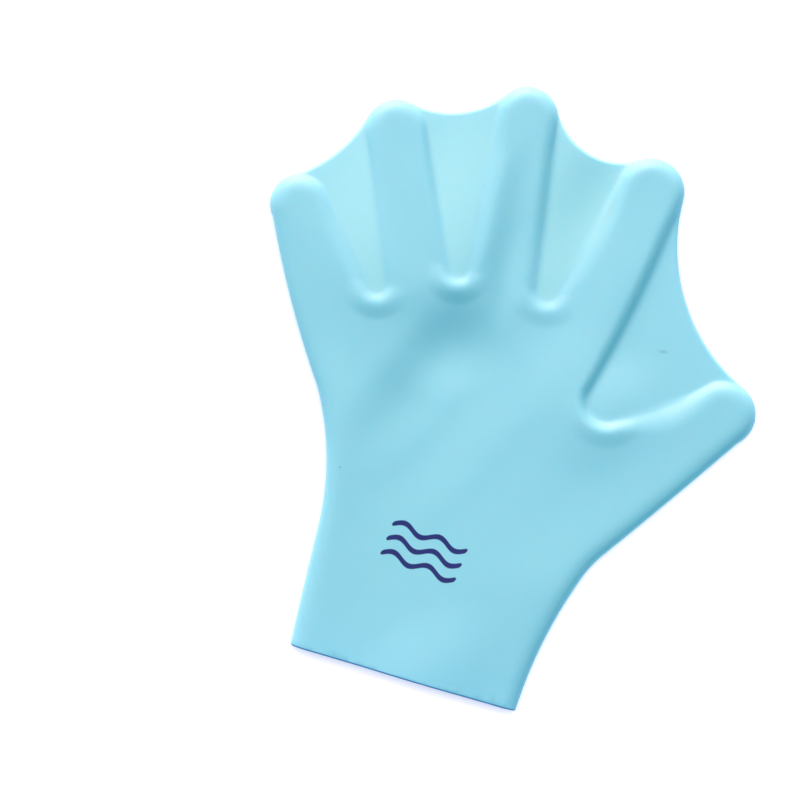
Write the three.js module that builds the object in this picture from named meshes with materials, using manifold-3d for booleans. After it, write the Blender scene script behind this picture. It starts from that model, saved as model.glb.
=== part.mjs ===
// Webbed swim glove for the left hand: one hollow piece of moulded silicone, lying palm down.
// Millimetres, +X towards the thumb, +Y towards the fingertips, +Z up through the back of the hand.
// The hand's outline is a belt round circles: full ones at the fingertips, hollow ones at the
// crotches between the fingers and at the waist of the wrist. A puffed hand is raised from that
// outline, a thin web joins its fingers, a smaller hand makes the hollow, and the cuff is cut open.

import * as THREE from "three";
import Module from "manifold-3d";

const wasm = await Module();
wasm.setup();

// Lengths and places. Those along the hand run from the middle of the cuff's edge.
const handReach = 200; // to the centre of the middle fingertip's round
const fingerSpread = 160; // from the centre of the pinky's round to the thumb's, across the hand
const fingertipWidth = 21;
const crotchWidth = 6.4; // of the round end of the gap between two fingers
const cuffWidth = 81;
const cuffSlant = THREE.MathUtils.degToRad(4.4); // the thumb's end of the cuff lies lower
const cuffLean = THREE.MathUtils.degToRad(5); // the palm side of the cuff reaches further
const waistRadiusPinky = 100;
const waistRadiusThumb = 165;
const thumbBaseRadius = 40; // of the tighter bend from the wrist into the thumb

// Thicknesses and heights.
const fingerThickness = 11.5; // of a flattened finger, from one side to the other
const wallThickness = 1.4;
const webThickness = 1.8;
const webRim = 0.4; // how far the web stands out round a fingertip

const shoulderWidth = 0.32 * fingertipWidth; // of the rounded edge all round the raised hand
const shoulderPower = 2.4; // above 2 the edge is flatter towards the back than a circle
const webHeight = 0.68 * fingerThickness; // the web's middle, above what the glove lies on

// A finger's sides bow outwards by these shares of their length, the pinky's outer side most.
const sideBow = 0.004;
const outerSideBow = 0.022;

// How finely the surface is divided.
const arcError = 0.1; // between an arc and its chords
const sideStep = 11;
const capStep = 10;
const cutSpare = 16; // how far the tube runs past the cuff before it is cut

// Round fingertips: places as shares of fingerSpread and handReach, widths of fingertipWidth.
const fingertips = {
  pinky: { across: -0.433, along: 0.769, widthShare: 0.95, sideBow: outerSideBow },
  ring: { across: -0.26, along: 0.929, widthShare: 1 },
  middle: { across: 0.014, along: 0.999, widthShare: 1 },
  index: { across: 0.311, along: 0.917, widthShare: 1.1 },
  thumb: { across: 0.566, along: 0.563, widthShare: 1.07 },
};

// Crotches between neighbouring fingers: places as above, widths as shares of crotchWidth.
// edgeShare is the radius of the web's hollow edge there, as a share of handReach.
const crotches = [
  { from: "thumb", to: "index", across: 0.314, along: 0.542, widthShare: 2.19, edgeShare: 0.32 },
  { from: "index", to: "middle", across: 0.135, along: 0.709, widthShare: 1.09, edgeShare: 0.113 },
  { from: "middle", to: "ring", across: -0.065, along: 0.7155, widthShare: 1, edgeShare: 0.159 },
  { from: "ring", to: "pinky", across: -0.2325, along: 0.66, widthShare: 1, edgeShare: 0.229 },
];

// Where each side of the wrist is narrowest: across as a share of cuffWidth, along of handReach.
const waistPinky = { across: -0.487, along: 0.24 };
const waistThumb = { across: 0.5, along: -0.1 };
const bendClearance = 0.05; // keeps the bend from crossing the waist's arc
const thumbBaseAlong = 0.2325; // where the bend into the thumb begins, as a share of handReach

// Rises and dents of the glove's back. Places and reaches are shares of fingerSpread and
// handReach, rise of fingerThickness, and turn is in degrees, anticlockwise from across the hand.
const swells = [
  { name: "palm", across: 0.03, along: 0.4, reachAcross: 0.5, reachAlong: 0.42, turn: 0, rise: 0.14 },
  { name: "knuckle pocket", across: 0.065, along: 0.63, reachAcross: 0.176, reachAlong: 0.565, turn: -27, rise: -0.17 },
  { name: "palm pocket", across: 0.082, along: 0.39, reachAcross: 0.319, reachAlong: 0.47, turn: -32, rise: -0.218 },
  { name: "left groove", across: -0.118, along: 0.49, reachAcross: 0.102, reachAlong: 0.21, turn: -29, rise: -0.091 },
  { name: "ring crotch dent", across: -0.066, along: 0.587, reachAcross: 0.157, reachAlong: 0.103, turn: -15, rise: -0.114 },
  { name: "ring knuckle", across: -0.103, along: 0.74, reachAcross: 0.267, reachAlong: 0.327, turn: 52, rise: 0.05 },
  { name: "pinky knuckle", across: -0.253, along: 0.666, reachAcross: 0.154, reachAlong: 0.218, turn: 36, rise: 0.12 },
  { name: "thumb sag", across: 0.378, along: 0.402, reachAcross: 0.376, reachAlong: 0.125, turn: 47, rise: -0.073 },
  { name: "cuff swell", across: 0.043, along: -0.007, reachAcross: 0.233, reachAlong: 0.122, turn: 50, rise: 0.116 },
  { name: "middle finger sag", across: 0.035, along: 0.784, reachAcross: 0.061, reachAlong: 0.18, turn: 3, rise: -0.16 },
  { name: "index knuckle", across: 0.281, along: 0.54, reachAcross: 0.162, reachAlong: 0.163, turn: -10, rise: 0.111 },
];

// The rounded edge from its widest line to the flat back or palm, as shares of a quarter turn.
const upperTurns = [0.24, 0.5, 0.75, 1];
const lowerTurns = [0.34, 0.68, 1];

const tipCircle = (name, rim = 0) => ({
  x: fingertips[name].across * fingerSpread,
  y: fingertips[name].along * handReach,
  radius: (fingertips[name].widthShare * fingertipWidth) / 2 + rim,
  sideBow: fingertips[name].sideBow,
});

const crotchCircle = (row) => ({
  x: row.across * fingerSpread,
  y: row.along * handReach,
  radius: (row.widthShare * crotchWidth) / 2,
  hollow: true,
});

// The hollow circle at a waist, whose nearest point to the hand's axis is the waist itself.
const waistCircle = (row, radius) => ({
  x: row.across * cuffWidth + Math.sign(row.across) * radius,
  y: row.along * handReach,
  radius,
  hollow: true,
});

// The tighter hollow circle that the thumb's waist runs into, just clear of its inner side.
function thumbBaseCircle() {
  const waist = waistCircle(waistThumb, waistRadiusThumb);
  const up = thumbBaseAlong * handReach - waist.y;
  const lean = Math.asin(up / waist.radius);
  const reach = waist.radius - thumbBaseRadius + bendClearance;
  return {
    x: waist.x - Math.cos(lean) * reach,
    y: waist.y + Math.sin(lean) * reach,
    radius: thumbBaseRadius,
    hollow: true,
  };
}

// A round corner past the cuff, which the cut takes away.
const heelCircle = (side) => ({
  x: side * (cuffWidth / 2 - shoulderWidth * 2),
  y: -cutSpare,
  radius: shoulderWidth * 2,
});

// The hollow circle that touches two fingertips from outside: the edge of the web between them.
function webEdgeCircle(row) {
  const a = tipCircle(row.from, webRim);
  const b = tipCircle(row.to, webRim);
  const radius = row.edgeShare * handReach;
  const apart = Math.hypot(b.x - a.x, b.y - a.y);
  const reachA = radius + a.radius;
  const reachB = radius + b.radius;
  const along = (reachA ** 2 - reachB ** 2 + apart ** 2) / (2 * apart);
  const off = Math.sqrt(Math.max(0, reachA ** 2 - along ** 2));
  const ux = (b.x - a.x) / apart;
  const uy = (b.y - a.y) / apart;
  return { x: a.x + along * ux + off * uy, y: a.y + along * uy - off * ux, radius, hollow: true };
}

// The outline of a belt round the circles, anticlockwise, as points with outward normals.
// The normals make every inset outline as well: a point less its normal times the inset.
function beltOutline(circles) {
  const signed = circles.map((c) => (c.hollow ? -c.radius : c.radius));
  const headings = circles.map((c, i) => {
    const j = (i + 1) % circles.length;
    const dx = circles[j].x - c.x;
    const dy = circles[j].y - c.y;
    const lean = THREE.MathUtils.clamp((signed[j] - signed[i]) / Math.hypot(dx, dy), -1, 1);
    return Math.atan2(dy, dx) - Math.asin(lean);
  });
  const pointAt = (i, heading) => {
    const normal = new THREE.Vector2(Math.sin(heading), -Math.cos(heading));
    const centre = new THREE.Vector2(circles[i].x, circles[i].y);
    return { point: centre.addScaledVector(normal, signed[i]), normal };
  };
  const outline = [];
  circles.forEach((circle, i) => {
    const arriving = headings[(i + circles.length - 1) % circles.length];
    const full = 2 * Math.PI;
    let turn = headings[i] - arriving;
    turn = circle.hollow ? -((((-turn % full) + full) % full)) : ((turn % full) + full) % full;
    const widest = circle.radius + (circle.hollow ? shoulderWidth : 0);
    const pieces = Math.max(2, Math.ceil(Math.abs(turn) * Math.sqrt(widest / (8 * arcError))));
    for (let k = 0; k <= pieces; k++) outline.push(pointAt(i, arriving + (turn * k) / pieces));
    const next = pointAt((i + 1) % circles.length, headings[i]);
    const last = outline[outline.length - 1];
    const length = last.point.distanceTo(next.point);
    if (length < 1e-3) outline.pop();
    for (let k = 1, n = Math.ceil(length / sideStep); k < n; k++) {
      const bow = (circle.sideBow ?? sideBow) * length * 4 * (k / n) * (1 - k / n);
      const point = last.point.clone().lerp(next.point, k / n).addScaledVector(last.normal, bow);
      outline.push({ point, normal: last.normal });
    }
  });
  return outline;
}

// How thick the glove is at a place, from the swells of its back.
function thicknessAt(x, y) {
  let thickness = fingerThickness;
  for (const swell of swells) {
    const turn = THREE.MathUtils.degToRad(swell.turn);
    const dx = x - swell.across * fingerSpread;
    const dy = y - swell.along * handReach;
    const u = (dx * Math.cos(turn) + dy * Math.sin(turn)) / (swell.reachAcross * fingerSpread);
    const v = (dy * Math.cos(turn) - dx * Math.sin(turn)) / (swell.reachAlong * handReach);
    const away = Math.min(1, Math.hypot(u, v));
    thickness += swell.rise * fingerThickness * 0.5 * (1 + Math.cos(Math.PI * away));
  }
  return thickness;
}

// Divides every edge longer than capStep once, except those of the rim, whose points come first.
// Neighbouring triangles share the new point.
function divideLongEdges(points, rimCount, triangles) {
  const middles = new Map();
  const onRim = (a, b) => Math.max(a, b) < rimCount && [1, rimCount - 1].includes(Math.abs(a - b));
  const middleOf = (a, b) => {
    if (onRim(a, b) || points[a].distanceTo(points[b]) <= capStep) return -1;
    const key = Math.min(a, b) + "," + Math.max(a, b);
    if (!middles.has(key)) {
      middles.set(key, points.length);
      points.push(points[a].clone().lerp(points[b], 0.5));
    }
    return middles.get(key);
  };
  return triangles.flatMap((corners) => {
    const halves = corners.map((a, i) => middleOf(a, corners[(i + 1) % 3]));
    const cuts = halves.filter((m) => m >= 0).length;
    if (cuts === 0) return [corners];
    // Turn the triangle until its first edge is cut and, of two cut edges, its last is whole.
    const turn = halves.findIndex((m, i) => m >= 0 && (cuts !== 2 || halves[(i + 2) % 3] < 0));
    const [a, b, c] = [0, 1, 2].map((i) => corners[(turn + i) % 3]);
    const [ab, bc, ca] = [0, 1, 2].map((i) => halves[(turn + i) % 3]);
    if (cuts === 1) return [[a, ab, c], [ab, b, c]];
    if (cuts === 2) return [[a, ab, c], [ab, bc, c], [ab, b, bc]];
    return [[a, ab, ca], [ab, b, bc], [ca, bc, c], [ab, bc, ca]];
  });
}

// The angle at c between the directions to a and b.
function angleAt(c, a, b) {
  const ca = a.clone().sub(c);
  const cb = b.clone().sub(c);
  return Math.abs(Math.atan2(ca.cross(cb), ca.dot(cb)));
}

// Turns the shared edge of two thin triangles, over and over, wherever that makes them rounder.
function turnThinEdges(points, triangles) {
  for (let turned = true; turned; ) {
    turned = false;
    const owners = new Map();
    triangles.forEach((corners, t) => {
      corners.forEach((a, i) => {
        owners.set(a + "," + corners[(i + 1) % 3], { t, far: corners[(i + 2) % 3] });
      });
    });
    const changed = new Set();
    for (const [key, one] of owners) {
      const [a, b] = key.split(",").map(Number);
      const other = owners.get(b + "," + a);
      if (!other || changed.has(one.t) || changed.has(other.t)) continue;
      const [c, d] = [one.far, other.far];
      const facing = [c, d].map((far) => angleAt(points[far], points[a], points[b]));
      if (facing[0] + facing[1] < Math.PI + 1e-4) continue;
      triangles[one.t] = [a, d, c];
      triangles[other.t] = [d, b, c];
      changed.add(one.t).add(other.t);
      turned = true;
    }
  }
}

// Fills an outline with even triangles. Points inside are added to the given points.
function fillOutline(points, swelling) {
  const rimCount = points.length;
  let triangles = THREE.ShapeUtils.triangulateShape([...points], []);
  turnThinEdges(points, triangles);
  for (let before = 0; swelling && before !== triangles.length; ) {
    before = triangles.length;
    triangles = divideLongEdges(points, rimCount, triangles);
    turnThinEdges(points, triangles);
  }
  return triangles;
}

// A closed solid from rings of the outline, the lowest first, with flat or swelling caps.
// Each ring has an inset and a height function.
function ringSolid(outline, rings) {
  const positions = [];
  const faces = [];
  const count = outline.length;
  for (const ring of rings) {
    for (const { point, normal } of outline) {
      const x = point.x - normal.x * ring.inset;
      const y = point.y - normal.y * ring.inset;
      positions.push(x, y, ring.height(x, y));
    }
  }
  for (let level = 1; level < rings.length; level++) {
    for (let i = 0; i < count; i++) {
      const j = (i + 1) % count;
      const [a, b] = [(level - 1) * count + i, (level - 1) * count + j];
      faces.push([a, b, b + count], [a, b + count, a + count]);
    }
  }
  for (const top of [false, true]) {
    const ring = top ? rings[rings.length - 1] : rings[0];
    const first = top ? (rings.length - 1) * count : 0;
    const points = outline.map((o) => o.point.clone().addScaledVector(o.normal, -ring.inset));
    const triangles = fillOutline(points, top);
    const added = positions.length / 3;
    for (const p of points.slice(count)) positions.push(p.x, p.y, ring.height(p.x, p.y));
    const index = (i) => (i < count ? first + i : added + i - count);
    for (const [a, b, c] of triangles) faces.push((top ? [a, b, c] : [c, b, a]).map(index));
  }
  const mesh = new wasm.Mesh({
    numProp: 3,
    vertProperties: new Float32Array(positions),
    triVerts: new Uint32Array(faces.flat()),
  });
  return new wasm.Manifold(mesh);
}

// The puffed hand, with every surface moved inwards by the margin.
function puffedHand(outline, margin) {
  const round = shoulderWidth - margin;
  const bottom = margin;
  const power = 2 / shoulderPower;
  const shareAt = (turn) => Math.sin((turn * Math.PI) / 2) ** power;
  const insetAt = (turn) => margin + round * (1 - shareAt(1 - turn));
  const rings = [];
  for (const turn of [...lowerTurns].reverse()) {
    const share = shareAt(turn);
    rings.push({ inset: insetAt(turn), height: () => webHeight - (webHeight - bottom) * share });
  }
  rings.push({ inset: margin, height: () => webHeight });
  for (const turn of upperTurns) {
    const share = shareAt(turn);
    rings.push({
      inset: insetAt(turn),
      height: (x, y) => webHeight + (thicknessAt(x, y) - margin - webHeight) * share,
    });
  }
  return ringSolid(outline, rings);
}

// The web: a thin plate with a rounded edge, which runs on into the palm's walls.
function webPlate() {
  const circles = [tipCircle("thumb", webRim)];
  for (const row of crotches) circles.push(webEdgeCircle(row), tipCircle(row.to, webRim));
  const palm = { x: 0, y: crotches[0].along * handReach * 0.8, radius: fingertipWidth };
  const half = webThickness / 2;
  const level = (inset, share) => ({ inset: inset * half, height: () => webHeight + share * half });
  return ringSolid(beltOutline([...circles, palm]), [
    level(1, -1),
    level(0.3, -0.7),
    level(0, 0),
    level(0.3, 0.7),
    level(1, 1),
  ]);
}

// Everything past the slanting line of the cuff's edge.
function cuffCut() {
  const wide = cuffWidth * 2;
  const deep = cutSpare * 4;
  const box = new THREE.BoxGeometry(wide, deep, wide).toNonIndexed();
  box.translate(0, -deep / 2, 0).rotateX(cuffLean).rotateZ(-cuffSlant);
  return solidOf(box);
}

// A manifold solid from a closed geometry whose triangles are loose.
function solidOf(geometry) {
  const keys = new Map();
  const vertices = [];
  const triangles = [];
  const position = geometry.getAttribute("position");
  for (let i = 0; i < position.count; i++) {
    const corner = [position.getX(i), position.getY(i), position.getZ(i)];
    const key = corner.map((v) => v.toFixed(4)).join();
    if (!keys.has(key)) {
      keys.set(key, vertices.length / 3);
      vertices.push(...corner);
    }
    triangles.push(keys.get(key));
  }
  const mesh = new wasm.Mesh({
    numProp: 3,
    vertProperties: new Float32Array(vertices),
    triVerts: new Uint32Array(triangles),
  });
  return new wasm.Manifold(mesh);
}

// The hand's outline, from the thumb's side of the cuff round the fingertips and back.
function handOutline() {
  const circles = [
    heelCircle(-1),
    heelCircle(1),
    waistCircle(waistThumb, waistRadiusThumb),
    thumbBaseCircle(),
    tipCircle("thumb"),
  ];
  for (const row of crotches) circles.push(crotchCircle(row), tipCircle(row.to));
  circles.push(waistCircle(waistPinky, waistRadiusPinky));
  return beltOutline(circles);
}

const outline = handOutline();
const glove = puffedHand(outline, 0)
  .add(webPlate())
  .subtract(puffedHand(outline, wallThickness))
  .subtract(cuffCut());

// The origin is the centre of the glove's bounding box, on the surface that it lies on.
function centredGeometry(solid) {
  const mesh = solid.getMesh();
  const geometry = new THREE.BufferGeometry();
  geometry.setAttribute("position", new THREE.BufferAttribute(mesh.vertProperties, mesh.numProp));
  geometry.setIndex(new THREE.BufferAttribute(mesh.triVerts, 1));
  geometry.computeBoundingBox();
  const middle = geometry.boundingBox.getCenter(new THREE.Vector3());
  geometry.translate(-middle.x, -middle.y, 0);
  geometry.computeVertexNormals();
  return geometry;
}

const silicone = new THREE.MeshStandardMaterial({
  color: new THREE.Color().setRGB(0.56, 0.86, 0.93, THREE.SRGBColorSpace),
  roughness: 0.5,
  metalness: 0,
});

const group = new THREE.Group();
const mesh = new THREE.Mesh(centredGeometry(glove), silicone);
mesh.name = "glove_shell";
group.add(mesh);

export default group;
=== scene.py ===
import bpy
import bmesh
import math
import numpy as np
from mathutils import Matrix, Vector
from mathutils.kdtree import KDTree


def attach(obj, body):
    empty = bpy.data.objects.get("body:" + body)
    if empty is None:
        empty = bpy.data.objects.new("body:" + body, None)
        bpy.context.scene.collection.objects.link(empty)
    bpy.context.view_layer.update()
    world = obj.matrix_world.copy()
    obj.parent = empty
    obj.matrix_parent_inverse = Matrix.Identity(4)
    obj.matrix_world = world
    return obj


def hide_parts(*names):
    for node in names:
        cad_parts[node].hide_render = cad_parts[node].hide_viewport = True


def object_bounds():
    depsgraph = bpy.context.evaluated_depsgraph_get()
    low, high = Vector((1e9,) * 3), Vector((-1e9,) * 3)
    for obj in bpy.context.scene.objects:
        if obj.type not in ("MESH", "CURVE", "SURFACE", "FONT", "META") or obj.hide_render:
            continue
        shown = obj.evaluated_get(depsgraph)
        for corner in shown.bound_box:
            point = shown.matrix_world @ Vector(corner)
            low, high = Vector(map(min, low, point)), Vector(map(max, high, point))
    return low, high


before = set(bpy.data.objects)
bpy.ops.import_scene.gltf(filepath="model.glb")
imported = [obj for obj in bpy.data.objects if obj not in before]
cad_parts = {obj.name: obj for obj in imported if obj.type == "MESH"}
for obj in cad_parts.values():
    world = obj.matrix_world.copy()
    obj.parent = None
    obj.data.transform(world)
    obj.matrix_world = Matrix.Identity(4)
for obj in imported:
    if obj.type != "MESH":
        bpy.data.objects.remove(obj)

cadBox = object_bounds()
mm = 0.001
print("frame loaded, CAD box in mm", [[round(v / mm, 1) for v in corner] for corner in cadBox])

# Lengths of the hand in millimetres, the same as in the part's source.
# Places run from the middle of the cuff's edge, +X to the thumb and +Y to the fingertips.
hand = {
    "handReach": 200, "fingerSpread": 160, "fingertipWidth": 21, "crotchWidth": 6.4,
    "cuffWidth": 81, "cuffSlant": math.radians(4.4), "cuffLean": math.radians(5),
    "waistRadiusPinky": 100, "waistRadiusThumb": 165, "thumbBaseRadius": 40,
    "bendClearance": 0.05, "thumbBaseAlong": 0.2325,
    "waistPinky": (-0.487, 0.24), "waistThumb": (0.5, -0.1),
    # how far each straight side bows out, as a share of its length; the named ones start at
    # that fingertip or crotch, going anticlockwise
    "sideBow": 0.004, "bows": {"pinky": 0.022, "thumb": -0.034, "thumb-index": 0.024, "index": -0.014},
    # the shoulder's width along the named sides, as a share of the usual one
    "sides": {"thumb": 1.45, "thumb-index": 0.8, "index": 1.1, "index-middle": 0.85, "middle": 1.05,
              "middle-ring": 0.65, "ring": 0.65, "ring-pinky": 1.1, "pinky": 1.7},
    # how far the body runs on past the cuff's line, and the heel's round in shoulder widths
    "cutSpare": 16, "heelRound": 2,
    "fingerThickness": 11.5, "wall": 1.4, "webThickness": 1.8, "webRim": 0.4,
    # the shoulder's width in the crotches and at the wrist, as shares of the usual one
    "crotchShoulder": 0.66, "wristShoulder": 1.1, "shoulderChange": 14,
    # above 2 the shoulder is flatter towards the back and steeper at its foot than a circle
    "shoulderPower": 2.4,
    # beside the webs: how far the foot's fillet reaches out and in, and how soon the slope fades
    "footOut": 0.05, "footIn": 0.06, "slopeFade": 1.2,
    # across, along and width of each fingertip's round, and its shoulder's width
    "tips": {
        "pinky": (-0.433, 0.769, 0.95, 1.0), "ring": (-0.26, 0.929, 1.0, 0.9),
        "middle": (0.014, 0.999, 1.0, 0.9), "index": (0.311, 0.917, 1.1, 0.9),
        "thumb": (0.566, 0.563, 1.07, 1.0),
    },
    # the fingers beside each crotch, its place and width, and the web's edge radius
    "crotches": [
        ("thumb", "index", 0.314, 0.542, 2.19, 0.32),
        ("index", "middle", 0.135, 0.709, 1.09, 0.113),
        ("middle", "ring", -0.065, 0.7155, 1.0, 0.159),
        ("ring", "pinky", -0.2325, 0.66, 1.0, 0.229),
    ],
    # the web's edge as inset and height, both shares of its half thickness, and the web's inner
    # corner under the palm, as a share of the thumb crotch's place along the hand
    "webEdge": [(1, -1), (0.4, -0.85), (0.05, -0.4), (0, 0), (0.05, 0.4), (0.4, 0.85), (1, 1)],
    "webReach": 0.8,
    # how much each crotch's lip rises over the back behind it, and the lip's place and half width
    "lips": [0.04, 0.05, 0.075, 0.065], "lipPlace": 0.18, "lipReach": 0.3,
    # across, along, reach across, reach along, turn in degrees, rise
    "swells": [
        (0.03, 0.4, 0.5, 0.42, 0, 0.14),
        (0.065, 0.63, 0.176, 0.565, -27, -0.21),
        (0.082, 0.39, 0.319, 0.47, -32, -0.218),
        (-0.118, 0.49, 0.102, 0.21, -29, -0.1),
        (-0.066, 0.587, 0.157, 0.103, -15, -0.145),
        (-0.103, 0.74, 0.267, 0.327, 52, 0.13),
        (-0.253, 0.666, 0.154, 0.218, 36, 0.12),
        (0.378, 0.402, 0.376, 0.125, 47, -0.073),
        (0.043, -0.007, 0.233, 0.122, 50, 0.116),
        (0.035, 0.784, 0.061, 0.18, 3, -0.16),
        (0.281, 0.54, 0.162, 0.163, -10, 0.111),
    ],
    # the webs rise beside the ring finger and towards the crotches, in the same columns
    "webSwells": [
        (-0.19, 0.75, 0.27, 0.36, 12, 0.16),
        (-0.06, 0.71, 0.16, 0.34, 0, 0.28),
        (-0.235, 0.655, 0.16, 0.34, 15, 0.3),
        (0.135, 0.709, 0.12, 0.2, 0, 0.08),
        (0.33, 0.53, 0.14, 0.12, -40, 0.16),
        (0.25, 0.97, 0.12, 0.28, -20, -0.2),
    ],
}
hand["shoulder"] = 0.32 * hand["fingertipWidth"]
hand["webSwellDepth"] = 0.3 * hand["fingerThickness"]
hand["webHeight"] = 0.68 * hand["fingerThickness"]

# How fine the visual mesh is, in millimetres.
fineness = {
    "arcError": 0.01, "sideStep": 1.2, "rings": 9, "voxel": 0.52, "smoothing": 2, "faces": 164000,
    "hollowRings": 6, "hollowVoxel": 1.6, "sharpAngle": math.radians(40),
    # how far beside the hand's outline the foot's corner is smoothed, and between which heights
    # over or under the web
    "filletReach": 2.4, "filletFoot": 0.3, "filletHeight": 3.0, "filletSmoothing": 3,
    # each step's draw and depth where the cuff's edges are rounded
    "rim": [(0.08, 0.26), (0.17, 0.2), (0.27, 0.11)],
    # a face belongs to the cuff's cut if it faces along it and lies this near it
    "cutFacing": 0.99, "cutNear": 0.12,
}

# The webs' painted light for the shader, standing for the white floor's light through them: where it
# starts and ends beside the hand's outline, and the line in the hand's frame past which it grows weaker,
# as painted shade on the web beside the thumb, all in millimetres.
paintedWebLight = {"inside": 1, "reach": 2.5, "lineX": 30, "lineY": 110, "lean": 0.27, "fade": 6, "weaker": 0.7}


def tipCircle(name, rim=0.0):
    across, along, width, shoulder = hand["tips"][name]
    return {"x": across * hand["fingerSpread"], "y": along * hand["handReach"], "hollow": False,
            "radius": width * hand["fingertipWidth"] / 2 + rim, "shoulder": shoulder, "name": name}


def crotchCircle(row):
    return {"x": row[2] * hand["fingerSpread"], "y": row[3] * hand["handReach"],
            "radius": row[4] * hand["crotchWidth"] / 2, "hollow": True, "webbed": 1,
            "shoulder": hand["crotchShoulder"], "name": row[0] + "-" + row[1]}


def waistCircle(place, radius):
    across, along = place
    return {"x": across * hand["cuffWidth"] + math.copysign(radius, across),
            "y": along * hand["handReach"], "radius": radius, "hollow": True,
            "shoulder": hand["wristShoulder"]}


def thumbBaseCircle():
    waist = waistCircle(hand["waistThumb"], hand["waistRadiusThumb"])
    lean = math.asin((hand["thumbBaseAlong"] * hand["handReach"] - waist["y"]) / waist["radius"])
    reach = waist["radius"] - hand["thumbBaseRadius"] + hand["bendClearance"]
    return {"x": waist["x"] - math.cos(lean) * reach, "y": waist["y"] + math.sin(lean) * reach,
            "radius": hand["thumbBaseRadius"], "hollow": True, "shoulder": hand["wristShoulder"]}


def heelCircle(side):
    corner = hand["shoulder"] * hand["heelRound"]
    return {"x": side * (hand["cuffWidth"] / 2 - corner), "y": -hand["cutSpare"],
            "radius": corner, "hollow": False, "shoulder": hand["wristShoulder"]}


def webEdgeCircle(row):
    a = tipCircle(row[0], hand["webRim"])
    b = tipCircle(row[1], hand["webRim"])
    radius = row[5] * hand["handReach"]
    apart = math.hypot(b["x"] - a["x"], b["y"] - a["y"])
    reachA = radius + a["radius"]
    reachB = radius + b["radius"]
    along = (reachA ** 2 - reachB ** 2 + apart ** 2) / (2 * apart)
    off = math.sqrt(max(0.0, reachA ** 2 - along ** 2))
    ux = (b["x"] - a["x"]) / apart
    uy = (b["y"] - a["y"]) / apart
    return {"x": a["x"] + along * ux + off * uy, "y": a["y"] + along * uy - off * ux,
            "radius": radius, "hollow": True}


# The belt round the circles, anticlockwise: x, y, outward normal, the shoulder's share and
# how far the place is beside a web.
def beltOutline(circles):
    signed = [-c["radius"] if c["hollow"] else c["radius"] for c in circles]
    shoulders = [c.get("shoulder", 1) for c in circles]
    count = len(circles)
    headings = []
    for i, c in enumerate(circles):
        j = (i + 1) % count
        dx = circles[j]["x"] - c["x"]
        dy = circles[j]["y"] - c["y"]
        lean = max(-1.0, min(1.0, (signed[j] - signed[i]) / math.hypot(dx, dy)))
        headings.append(math.atan2(dy, dx) - math.asin(lean))

    def pointAt(i, heading):
        nx, ny = math.sin(heading), -math.cos(heading)
        return (circles[i]["x"] + nx * signed[i], circles[i]["y"] + ny * signed[i], nx, ny,
                shoulders[i], circles[i].get("webbed", 0))

    outline = []
    for i, c in enumerate(circles):
        arriving = headings[i - 1]
        turn = (headings[i] - arriving) % (2 * math.pi)
        if c["hollow"]:
            turn = -((arriving - headings[i]) % (2 * math.pi))
        widest = c["radius"] + (hand["shoulder"] if c["hollow"] else 0)
        pieces = max(2, math.ceil(abs(turn) * math.sqrt(widest / (8 * fineness["arcError"]))))
        for k in range(pieces + 1):
            outline.append(pointAt(i, arriving + turn * k / pieces))
        x, y, nx, ny, share, webbed = outline[-1]
        following = pointAt((i + 1) % count, headings[i])
        side = hand["sides"].get(c.get("name"), max(share, following[4]))
        bowed = hand["bows"].get(c.get("name"), hand["sideBow"])
        length = math.hypot(following[0] - x, following[1] - y)
        if length < 1e-3:
            outline.pop()
        steps = math.ceil(length / fineness["sideStep"])
        for k in range(1, steps):
            t = k / steps
            bow = bowed * length * 4 * t * (1 - t)
            # a crotch's narrow shoulder widens soon beside it, and the web's fillet ends at the tip
            change = min(1, length * min(t, 1 - t) / hand["shoulderChange"])
            ease = change * change * (3 - 2 * change)
            nearer = following if t > 0.5 else (0, 0, 0, 0, share, webbed)
            outline.append((x + (following[0] - x) * t + nx * bow, y + (following[1] - y) * t + ny * bow,
                            nx, ny, nearer[4] + (side - nearer[4]) * change,
                            nearer[5] + (max(webbed, following[5]) - nearer[5]) * ease))
    return np.array(outline)


def handOutline():
    circles = [heelCircle(-1), heelCircle(1), waistCircle(hand["waistThumb"], hand["waistRadiusThumb"]),
               thumbBaseCircle(), tipCircle("thumb")]
    for row in hand["crotches"]:
        circles += [crotchCircle(row), tipCircle(row[1])]
    circles.append(waistCircle(hand["waistPinky"], hand["waistRadiusPinky"]))
    return beltOutline(circles)


def webOutline():
    rim = hand["webRim"]
    circles = [tipCircle("thumb", rim)]
    for row in hand["crotches"]:
        circles += [webEdgeCircle(row), tipCircle(row[1], rim)]
    circles.append({"x": 0, "y": hand["crotches"][0][3] * hand["handReach"] * hand["webReach"],
                    "radius": hand["fingertipWidth"], "hollow": False})
    return beltOutline(circles)


# The row's origin in the hand's frame: the middle of the CAD box.
tipTop = tipCircle("middle", hand["webRim"])
thumbEnd = tipCircle("thumb", hand["webRim"])
shiftX = thumbEnd["x"] + thumbEnd["radius"] - cadBox[1][0] / mm
shiftY = tipTop["y"] + tipTop["radius"] - cadBox[1][1] / mm
print("hand frame to row frame, mm", round(shiftX, 2), round(shiftY, 2))


# How much a table of swells raises places in the hand's frame.
def riseAt(rows, x, y):
    total = np.zeros(np.shape(x))
    for across, along, reachAcross, reachAlong, turn, rise in rows:
        angle = math.radians(turn)
        dx = x - across * hand["fingerSpread"]
        dy = y - along * hand["handReach"]
        u = (dx * math.cos(angle) + dy * math.sin(angle)) / (reachAcross * hand["fingerSpread"])
        v = (dy * math.cos(angle) - dx * math.sin(angle)) / (reachAlong * hand["handReach"])
        away = np.minimum(1.0, np.hypot(u, v))
        total += rise * hand["fingerThickness"] * 0.5 * (1 + np.cos(math.pi * away))
    return total


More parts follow.
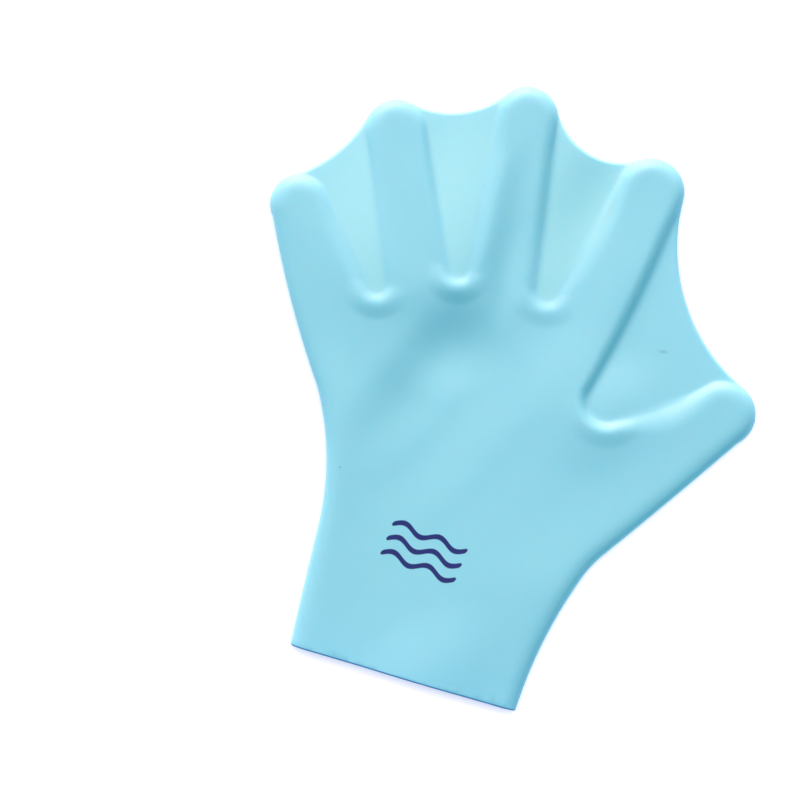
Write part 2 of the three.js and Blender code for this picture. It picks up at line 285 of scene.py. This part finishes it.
# How thick the glove is at places in the hand's frame.
def thicknessAt(x, y):
    thickness = hand["fingerThickness"] + riseAt(hand["swells"], x, y)
    for row, rise in zip(hand["crotches"], hand["lips"]):
        crotch = crotchCircle(row)
        apart = np.hypot(x - crotch["x"], y - crotch["y"])
        behind = np.clip((crotch["y"] - y) / np.maximum(apart, 1e-6), 0, 1)
        away = (apart - crotch["radius"]) / hand["fingertipWidth"] - hand["lipPlace"]
        lip = 0.5 * (1 + np.cos(math.pi * np.clip(away / hand["lipReach"], -1, 1)))
        thickness += rise * hand["fingerThickness"] * lip * behind
    return thickness


def selectNothing():
    if bpy.context.object and bpy.context.object.mode != "OBJECT":
        bpy.ops.object.mode_set(mode="OBJECT")
    bpy.ops.object.select_all(action="DESELECT")


def pickOnly(piece):
    selectNothing()
    piece.select_set(True)
    bpy.context.view_layer.objects.active = piece


def getPoints(piece):
    points = np.empty(len(piece.data.vertices) * 3)
    piece.data.vertices.foreach_get("co", points)
    return points.reshape(-1, 3)


def setPoints(piece, points):
    piece.data.vertices.foreach_set("co", points.reshape(-1))
    piece.data.update()


def applyAll(piece):
    pickOnly(piece)
    for modifier in list(piece.modifiers):
        bpy.ops.object.modifier_apply(modifier=modifier.name)


def editAll(piece):
    pickOnly(piece)
    bpy.ops.object.mode_set(mode="EDIT")
    bpy.ops.mesh.select_all(action="SELECT")


def joinTo(piece, other):
    pickOnly(piece)
    other.select_set(True)
    bpy.ops.object.join()


def remesh(piece, size):
    pickOnly(piece)
    piece.data.remesh_voxel_size = size * mm
    piece.data.remesh_voxel_adaptivity = 0
    bpy.ops.object.voxel_remesh()


# A form grown by extruding a closed outline from ring to ring, with both ends filled.
def ringedForm(name, rings):
    selectNothing()
    bpy.ops.mesh.primitive_circle_add(vertices=len(rings[0]), radius=0.1, fill_type="NOTHING")
    piece = bpy.context.object
    piece.name = name
    setPoints(piece, rings[0] * mm)
    bpy.ops.object.mode_set(mode="EDIT")
    bpy.ops.mesh.select_all(action="SELECT")
    bpy.ops.mesh.edge_face_add()
    bpy.ops.mesh.select_all(action="SELECT")
    for before, ring in zip(rings[:-1], rings[1:]):
        rise = (ring[0][2] - before[0][2]) * mm
        bpy.ops.mesh.extrude_region_move(TRANSFORM_OT_translate={"value": (0, 0, rise)})
        shape = bmesh.from_edit_mesh(piece.data)
        for v in (v for v in shape.verts if v.select):
            apart = np.abs(before[:, 0] * mm - v.co.x) + np.abs(before[:, 1] * mm - v.co.y)
            v.co = ring[np.argmin(apart)] * mm
        bmesh.update_edit_mesh(piece.data)
    bpy.ops.mesh.select_all(action="SELECT")
    bpy.ops.mesh.normals_make_consistent(inside=False)
    bpy.ops.object.mode_set(mode="OBJECT")
    return piece


# One ring of an outline, drawn in by an inset and set at a height, in the row's frame.
def ringAt(outline, inset, height):
    x = outline[:, 0] - outline[:, 2] * inset - shiftX
    y = outline[:, 1] - outline[:, 3] * inset - shiftY
    return np.column_stack([x, y, np.full(len(x), height)])


# The shoulder beside a web, as inset and rise: a fillet at the foot that runs into a long round.
def webbedShoulder(width, rise, share):
    size = width / hand["shoulder"]
    out = hand["footOut"] * hand["fingertipWidth"] * size
    bend = hand["footIn"] * hand["fingertipWidth"] * size
    fade = hand["slopeFade"] + 1
    steepest = rise / ((bend + out) / 2 + (width - bend) / fade)
    inset = (width + out) * share - out
    low = steepest * np.clip(inset + out, 0, None) ** 2 / (2 * (bend + out))
    rest = np.clip((width - inset) / (width - bend), 0, None)
    high = rise - steepest * (width - bend) / fade * rest ** fade
    return inset, np.where(inset < bend, low, high)


def handForm(name, margin, count):
    outline = handOutline()
    shoulder = hand["shoulder"] * outline[:, 4] - margin
    level = hand["webHeight"]
    web = hand["webThickness"] / 2
    # the hollow has no fillet
    webbed = outline[:, 5] * (margin == 0)
    power = 2 / hand["shoulderPower"]

    # one ring at a share of the way from the widest line to the flat back or palm
    def ringTo(end, share):
        turn = share * math.pi / 2
        free = margin + shoulder * (1 - abs(math.cos(turn)) ** power)
        freeRise = abs(end - level) * math.sin(turn) ** power
        inset, rise = webbedShoulder(shoulder, abs(end - level) - web, share)
        inset = free + (inset - free) * webbed
        rise = freeRise + (web + rise - freeRise) * webbed
        ring = ringAt(outline, inset, 0)
        ring[:, 2] = level + math.copysign(1, end - level) * rise
        return ring

    shares = [k / count for k in range(count + 1)]
    above = [ringTo(hand["fingerThickness"] - margin, share) for share in shares]
    below = [ringTo(margin, share) for share in shares]
    return ringedForm(name, below[::-1] + above)


def webForm(name):
    outline = webOutline()
    half = hand["webThickness"] / 2
    rings = [ringAt(outline, half * inset, hand["webHeight"] + half * height)
             for inset, height in hand["webEdge"]]
    return ringedForm(name, rings)


# Lifts the upper side so that the flat back takes its swells and dents, and the webs theirs.
def swell(piece, margin):
    points = getPoints(piece)
    level = hand["webHeight"]
    top = hand["fingerThickness"] - margin
    x = points[:, 0] / mm + shiftX
    y = points[:, 1] / mm + shiftY
    above = points[:, 2] / mm - level
    share = np.clip(above / (top - level), 0, None)
    rise = share * (thicknessAt(x, y) - hand["fingerThickness"])
    if margin == 0:
        webShare = np.clip(np.where(above > 0, 1 - share, 1 + above / hand["webSwellDepth"]), 0, 1)
        rise += webShare * riseAt(hand["webSwells"], x, y)
    points[:, 2] += rise * mm
    setPoints(piece, points)


# How far each of a piece's points lies outside the hand's outline, in millimetres.
def outsideBy(points):
    outline = handOutline()
    foot = KDTree(len(outline))
    for i, row in enumerate(outline):
        foot.insert((row[0] - shiftX, row[1] - shiftY, 0), i)
    foot.balance()
    nearest = [foot.find((x, y, 0)) for x, y, z in points]
    side = outline[[index for place, index, apart in nearest]]
    x = points[:, 0] + shiftX - side[:, 0]
    y = points[:, 1] + shiftY - side[:, 1]
    return np.copysign([apart for place, index, apart in nearest], x * side[:, 2] + y * side[:, 3])


# Softens the corner where the webs run into the fingers' feet.
def fillet(piece):
    points = getPoints(piece) / mm
    height = np.abs(points[:, 2] - hand["webHeight"])
    near = np.abs(outsideBy(points)) < fineness["filletReach"]
    chosen = near & (height > fineness["filletFoot"]) & (height < fineness["filletHeight"])
    pickOnly(piece)
    piece.data.polygons.foreach_set("select", np.zeros(len(piece.data.polygons), bool))
    piece.data.edges.foreach_set("select", np.zeros(len(piece.data.edges), bool))
    piece.data.vertices.foreach_set("select", chosen)
    bpy.ops.object.mode_set(mode="EDIT")
    bpy.ops.mesh.vertices_smooth(factor=0.5, repeat=fineness["filletSmoothing"])
    bpy.ops.object.mode_set(mode="OBJECT")


# The outer skin: the body and the webs joined by a remesh, then shaped and thinned.
def outerSkin():
    piece = handForm("glove", 0.0, fineness["rings"])
    web = webForm("web")
    print("hand and web grown from their outlines", len(piece.data.vertices), len(web.data.vertices))
    joinTo(piece, web)
    remesh(piece, fineness["voxel"])
    editAll(piece)
    bpy.ops.mesh.vertices_smooth(factor=0.5, repeat=fineness["smoothing"])
    bpy.ops.object.mode_set(mode="OBJECT")
    fillet(piece)
    print("remeshed", len(piece.data.polygons), "faces")
    swell(piece, 0.0)
    thinner = piece.modifiers.new("thinner", "DECIMATE")
    thinner.ratio = fineness["faces"] / (2 * len(piece.data.polygons))
    applyAll(piece)
    print("thinned to", len(piece.data.polygons), "faces")
    return piece


# The hollow's skin lies a wall's thickness inside the outer one, and faces inward.
def innerSkin():
    piece = handForm("hollow", hand["wall"], fineness["hollowRings"])
    remesh(piece, fineness["hollowVoxel"])
    swell(piece, hand["wall"])
    editAll(piece)
    bpy.ops.mesh.flip_normals()
    bpy.ops.object.mode_set(mode="OBJECT")
    return piece


# The way out of the cuff, across its slanting and leaning cut.
cutNormal = (-math.sin(hand["cuffSlant"]) * math.cos(hand["cuffLean"]),
             -math.cos(hand["cuffSlant"]) * math.cos(hand["cuffLean"]), -math.sin(hand["cuffLean"]))


# Cuts both skins off at the cuff, fills the wall between them and rounds its edges in small steps.
def cutCuff(piece):
    rimDepth = sum(depth for draw, depth in fineness["rim"])
    cutPlace = tuple(mm * (start - normal * rimDepth)
                     for start, normal in zip((-shiftX, -shiftY, 0), cutNormal))
    editAll(piece)
    bpy.ops.mesh.bisect(plane_co=cutPlace, plane_no=cutNormal, clear_outer=True, use_fill=True)
    bpy.ops.mesh.select_mode(type="FACE")
    bpy.ops.mesh.select_all(action="DESELECT")

    def inCut(face):
        apart = [abs((v.co - Vector(cutPlace)).dot(Vector(cutNormal))) for v in face.verts]
        return max(apart) < fineness["cutNear"] * mm

    shape = bmesh.from_edit_mesh(piece.data)
    for face in shape.faces:
        facing = face.normal.dot(Vector(cutNormal)) > fineness["cutFacing"]
        face.select_set(facing and inCut(face))
    shape.select_flush_mode()
    bmesh.update_edit_mesh(piece.data)
    for draw, depth in fineness["rim"]:
        bpy.ops.mesh.inset(use_even_offset=False, thickness=draw * mm, depth=depth * mm)
    bpy.ops.mesh.select_mode(type="VERT")
    bpy.ops.object.mode_set(mode="OBJECT")
    print("hollowed and cut", len(piece.data.polygons), "faces")


# Marks the webs for the shader's painted light, the white floor's light through them; the one beside the
# thumb more weakly, as painted shade where it lies in shade.
def paintWebLight(piece):
    points = getPoints(piece) / mm
    webbing = np.clip((outsideBy(points) + paintedWebLight["inside"]) / paintedWebLight["reach"], 0, 1)
    lineX = paintedWebLight["lineX"] + (points[:, 1] + shiftY - paintedWebLight["lineY"]) * paintedWebLight["lean"]
    beside = np.clip((points[:, 0] + shiftX - lineX) / paintedWebLight["fade"], 0, 1)
    mark = piece.data.attributes.new("thin", "FLOAT", "POINT")
    mark.data.foreach_set("value", webbing * (1 - paintedWebLight["weaker"] * beside))


glove = outerSkin()
joinTo(glove, innerSkin())
cutCuff(glove)
paintWebLight(glove)
pickOnly(glove)
bpy.ops.object.shade_smooth_by_angle(angle=fineness["sharpAngle"])
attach(glove, "root")
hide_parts("glove_shell")


# Shader maths: an expression on sockets adds its Math nodes
class Wire:
    def __init__(self, tree, socket):
        self.tree = tree
        self.socket = socket

    def math(self, operation, *others):
        node = self.tree.nodes.new("ShaderNodeMath")
        node.operation = operation
        for i, value in enumerate((self,) + others):
            if isinstance(value, Wire):
                self.tree.links.new(value.socket, node.inputs[i])
            else:
                node.inputs[i].default_value = value
        return Wire(self.tree, node.outputs[0])

    def __add__(self, other):
        return self.math("ADD", other)

    __radd__ = __add__

    def __mul__(self, other):
        return self.math("MULTIPLY", other)

    __rmul__ = __mul__

    def __sub__(self, other):
        return self.math("SUBTRACT", other)

    def __rsub__(self, other):
        return (self * -1) + other

    def atLeast(self, other):
        return self.math("MAXIMUM", other)

    def atMost(self, other):
        return self.math("MINIMUM", other)


class Shader:
    def __init__(self, name):
        self.material = bpy.data.materials.new(name)
        self.material.use_nodes = True
        self.tree = self.material.node_tree
        self.surface = self.tree.nodes["Principled BSDF"]

    # A node of any type, with its settings first and then its sockets' values or links.
    def node(self, kind, settings=None, output=0, **sockets):
        made = self.tree.nodes.new("ShaderNode" + kind)
        for key, value in (settings or {}).items():
            setattr(made, key, value)
        for key, value in sockets.items():
            socket = made.inputs[int(key[1:])] if key[1:].isdigit() else made.inputs[key]
            if isinstance(value, Wire):
                self.tree.links.new(value.socket, socket)
            else:
                socket.default_value = value
        return Wire(self.tree, made.outputs[output])

    def feed(self, socket, value):
        if isinstance(value, Wire):
            self.tree.links.new(value.socket, self.surface.inputs[socket])
        else:
            self.surface.inputs[socket].default_value = value


def linear(red, green, blue):
    return tuple(v / 12.92 if v <= 0.04045 else ((v + 0.055) / 1.055) ** 2.4
                 for v in (red / 255, green / 255, blue / 255)) + (1.0,)


# Colours run from 0 to 255, and places and widths are in millimetres.
silicone = {
    # web is a paler colour painted on the webs, standing for the white floor's light shining through
    # them
    "pale": (141, 211, 228), "deep": (133, 204, 224), "web": (149, 215, 227),
    "roughness": 0.55, "roughnessChange": 0.06, "ior": 1.5,
    "subsurface": 0.5, "subsurfaceScale": 2.5, "subsurfaceRadius": (0.2, 0.8, 1.0),
    "patchesPerMetre": 28, "grainsPerMetre": 900, "grainDepth": 0.02, "grainStrength": 0.35,
    # painted shade: a darker line round the cuff's rounded edges, where they turn down away from the
    # light, with its colour, its width and the span that leaves the cut face pale
    "rim": (138, 150, 205), "cuffShadeWidth": 0.75, "cuffShadeFace": (0.02, 0.12),
    # faint smudges: place, half length and half width, turn in degrees, strength
    "smudge": (178, 168, 170), "smudgeCore": 0.1,
    "smudges": [(54.5, 26.2, 2.6, 1.0, 8, 0.35), (-47.6, -36.7, 0.7, 0.5, 0, 0.6)],
}
# A plain pattern of three waves in ink, on the back near the wrist.
waves = {
    "ink": (30, 32, 112), "roughness": 0.42, "place": (-12.8, -59.4), "turn": math.radians(-10),
    "length": 26, "apart": 5.4, "swing": 1.25, "wave": 13, "width": 1.9, "edge": 0.16, "lowest": 7.5,
}
skin = Shader("blueSilicone")
place = skin.node("TexCoord", output=3)


# A factor that runs smoothly from one value to another while a wire goes from start to end.
def fade(wire, start, end, first, last):
    return skin.node("MapRange", {"interpolation_type": "SMOOTHSTEP"}, Value=wire,
                     _1=start, _2=end, _3=first, _4=last)


def tinted(colour, tint, factor, blend="MIX"):
    return skin.node("Mix", {"data_type": "RGBA", "blend_type": blend}, output=2, _0=factor,
                     _6=colour, _7=linear(*tint))


def lengthOf(x, y):
    return (x.math("POWER", 2.0) + y.math("POWER", 2.0)).math("SQRT")


# Distances along and across a direction from a place on the glove, in millimetres.
def turnedFrom(centre, turn):
    x, y = [skin.node("SeparateXYZ", output=i, Vector=place) * (1 / mm) - centre[i] for i in (0, 1)]
    return (x * math.cos(turn) + y * math.sin(turn), y * math.cos(turn) - x * math.sin(turn))


def smudged(colour):
    for x, y, reach, across, turn, strength in silicone["smudges"]:
        u, v = turnedFrom((x, y), math.radians(turn))
        away = lengthOf(u * (1 / reach), v * (1 / across))
        mark = fade(away, silicone["smudgeCore"], 1.0, strength, 0.0)
        colour = tinted(colour, silicone["smudge"], mark, "MULTIPLY")
    return colour


# Painted shade: the cuff's rounded edges are darkened in a narrow line, where they turn down away from
# the light.
def paintedCuffShade(colour):
    x, y, z = [skin.node("SeparateXYZ", output=i, Vector=place) * cutNormal[i] for i in (0, 1, 2)]
    start = -mm * (cutNormal[0] * shiftX + cutNormal[1] * shiftY)
    inside = (x + y + z - start) * (-1 / mm)
    line = fade(inside, silicone["cuffShadeWidth"], silicone["cuffShadeWidth"] * 0.5, 0.0, 1.0)
    face = fade(inside, *silicone["cuffShadeFace"], 0.0, 1.0)
    return tinted(colour, silicone["rim"], line * face, "MULTIPLY")


# Where the three waves lie, on the back of the glove alone.
def waveMark():
    u, v = turnedFrom(waves["place"], waves["turn"])
    risen = v - (u * (2 * math.pi / waves["wave"])).math("SINE") * waves["swing"]
    line = (risen * (1 / waves["apart"])).math("ROUND").atLeast(-1.0).atMost(1.0)
    past = (u.math("ABSOLUTE") - waves["length"] / 2).atLeast(0.0)
    away = lengthOf(risen - line * waves["apart"], past)
    half = waves["width"] / 2
    mark = fade(away, half - waves["edge"], half + waves["edge"], 1.0, 0.0)
    height = skin.node("SeparateXYZ", output=2, Vector=place)
    return mark * height.math("GREATER_THAN", waves["lowest"] * mm)


patches = skin.node("TexNoise", {"noise_dimensions": "3D"}, Vector=place,
                    Scale=silicone["patchesPerMetre"], Detail=2.0, Roughness=0.5)
grain = skin.node("TexNoise", {"noise_dimensions": "3D"}, Vector=place,
                  Scale=silicone["grainsPerMetre"], Detail=3.0, Roughness=0.6)
inked = waveMark()
colour = tinted(linear(*silicone["pale"]), silicone["deep"], patches)
# painted light: the webs are painted paler, for the white floor's light shining through them
webbed = skin.node("Attribute", {"attribute_name": "thin"}, output=2)
colour = tinted(colour, silicone["web"], webbed)
# painted shade on the cuff's rounded edges, then the printed waves
colour = tinted(paintedCuffShade(smudged(colour)), waves["ink"], inked)
dull = (patches - 0.5) * silicone["roughnessChange"] + silicone["roughness"]
skin.feed("Base Color", colour)
skin.feed("Roughness", dull + (waves["roughness"] - dull) * inked)
skin.feed("Normal", skin.node("Bump", Strength=silicone["grainStrength"],
                              Distance=silicone["grainDepth"] * mm, Height=grain))
skin.feed("Subsurface Weight", silicone["subsurface"])
skin.feed("Subsurface Scale", silicone["subsurfaceScale"] * mm)
skin.feed("Subsurface Radius", silicone["subsurfaceRadius"])
skin.feed("IOR", silicone["ior"])
glove.data.materials.clear()
glove.data.materials.append(skin.material)
print("silicone shader made")

# The stage: lengths in metres, and the frame's centre in the hand's frame in millimetres.
stage = {
    "floor": (250, 250, 252), "floorSize": 4, "floorGap": 0.05 * mm, "floorRoughness": 0.8,
    "glow": 0.1, "glowColour": (1.0, 0.5, 0.62, 1.0), "sky": (0.45, 0.88, 1.0, 1), "skyStrength": 0.64,
    "cameraHeight": 1.5, "sharpHeight": 0.006, "frameWidth": 0.28, "sensor": 36,
    "roll": math.radians(12), "centre": (-20.7, 94.0),
}
selectNothing()
bpy.ops.mesh.primitive_plane_add(size=stage["floorSize"], location=(0, 0, -stage["floorGap"]))
floor = bpy.context.object
floor.name = "floor"
bpy.ops.object.transform_apply(location=True, rotation=True, scale=True)
paper = Shader("whiteFloor")
paper.feed("Base Color", linear(*stage["floor"]))
paper.feed("Roughness", stage["floorRoughness"])
paper.feed("Emission Color", stage["glowColour"])
paper.feed("Emission Strength", stage["glow"])
floor.data.materials.append(paper.material)

centre = ((stage["centre"][0] - shiftX) * mm, (stage["centre"][1] - shiftY) * mm)
bpy.ops.object.camera_add(location=(centre[0], centre[1], stage["cameraHeight"]),
                          rotation=(0, 0, stage["roll"]))
camera = bpy.context.object
camera.data.sensor_width = stage["sensor"]
camera.data.lens = stage["sensor"] * (stage["cameraHeight"] - stage["sharpHeight"]) / stage["frameWidth"]
bpy.context.scene.camera = camera

# Softboxes, each for one object; azimuth is from the picture's top, towards its right.
lights = [
    {"name": "topSoftbox", "azimuth": -9, "elevation": 25, "distance": 4.0, "size": 2.2, "power": 375,
     "colour": (1.0, 0.605, 0.52), "lights": glove},
    {"name": "floorSoftbox", "azimuth": 0, "elevation": 85, "distance": 1.8, "size": 1.0, "power": 33,
     "colour": (1.0, 0.76, 0.86), "lights": floor},
]
for row in lights:
    azimuth = math.radians(row["azimuth"]) - stage["roll"]
    elevation = math.radians(row["elevation"])
    away = Vector((math.sin(azimuth) * math.cos(elevation), math.cos(azimuth) * math.cos(elevation),
                   math.sin(elevation)))
    bpy.ops.object.light_add(type="AREA", location=Vector((*centre, 0)) + away * row["distance"],
                             rotation=away.to_track_quat("Z", "Y").to_euler())
    lamp = bpy.context.object
    lamp.name = row["name"]
    lamp.data.shape = "SQUARE"
    lamp.data.size = row["size"]
    lamp.data.energy = row["power"]
    lamp.data.color = row["colour"]
    lit = bpy.data.collections.new(row["name"] + "Lights")
    lit.objects.link(row["lights"])
    lamp.light_linking.receiver_collection = lit

world = bpy.data.worlds.new("studio")
bpy.context.scene.world = world
world.use_nodes = True
background = world.node_tree.nodes["Background"]
background.inputs["Color"].default_value = stage["sky"]
background.inputs["Strength"].default_value = stage["skyStrength"]
bpy.context.scene.view_settings.view_transform = "Standard"
print("stage, light and camera set")
